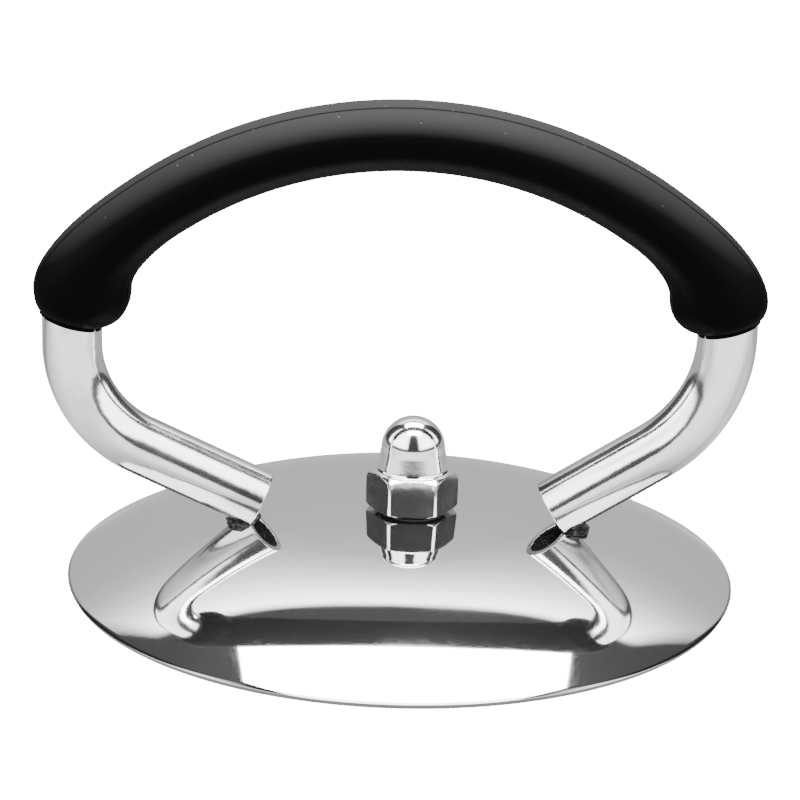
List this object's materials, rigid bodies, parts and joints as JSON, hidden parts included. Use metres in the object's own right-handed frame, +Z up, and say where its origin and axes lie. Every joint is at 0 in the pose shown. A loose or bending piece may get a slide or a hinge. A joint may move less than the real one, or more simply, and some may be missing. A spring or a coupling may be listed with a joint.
{
  "type": "patty press",
  "caption": "Round hand-held patty press: domed polished steel cover over a flat pressing plate, black bow grip on two bent tube legs, and a domed cap nut in the middle.",
  "frame": {"origin": "centre of the flat pressing face, on the axis of the stud and the cap nut", "axes": "+X along the grip to the user's right, +Y away from the user, +Z up from the pressing face to the grip"},
  "size_m": [0.15, 0.14, 0.1042],
  "materials": {
    "polished_stainless_steel": "mirror polished with fine polishing marks",
    "weld_metal": "dark as welded",
    "black_moulded_plastic": "satin black with a fine moulded grain",
    "bright_zinc_steel": "zinc plated",
    "grey_sealing_rubber": "matte"
  },
  "bodies": {
    "base": {"press_plate": "polished_stainless_steel", "centre_stud": "polished_stainless_steel", "stud_weld": "polished_stainless_steel", "jam_nut": "bright_zinc_steel", "inner_washer": "bright_zinc_steel"},
    "cover": {"dome_cover": "polished_stainless_steel", "leg_left": "polished_stainless_steel", "leg_right": "polished_stainless_steel", "weld_left": "weld_metal", "weld_right": "weld_metal", "grip_front_shell": "black_moulded_plastic", "grip_rear_shell": "black_moulded_plastic", "grip_screw_left": "bright_zinc_steel", "grip_screw_right": "bright_zinc_steel"},
    "seal": {"seal_washer": "grey_sealing_rubber"},
    "nut": {"cap_nut": "polished_stainless_steel"}
  },
  "joints": [
    {"name": "cover_lift", "type": "slide", "parent": "base", "child": "cover", "axis": [0, 0, 1], "range_m": [0, 0.03]},
    {"name": "nut_rise", "type": "slide", "parent": "cover", "child": "seal", "axis": [0, 0, 1], "range_m": [0, 0.0105]},
    {"name": "nut_turn", "type": "hinge", "parent": "seal", "child": "nut", "pos_m": [0.0021, 0, 0.0168], "axis": [0, 0, 1], "range_deg": [0, 2520]}
  ],
  "couplings": [
    {"joint": "nut_rise", "follows": "nut_turn", "m_per_rad": 0.00023873}
  ]
}
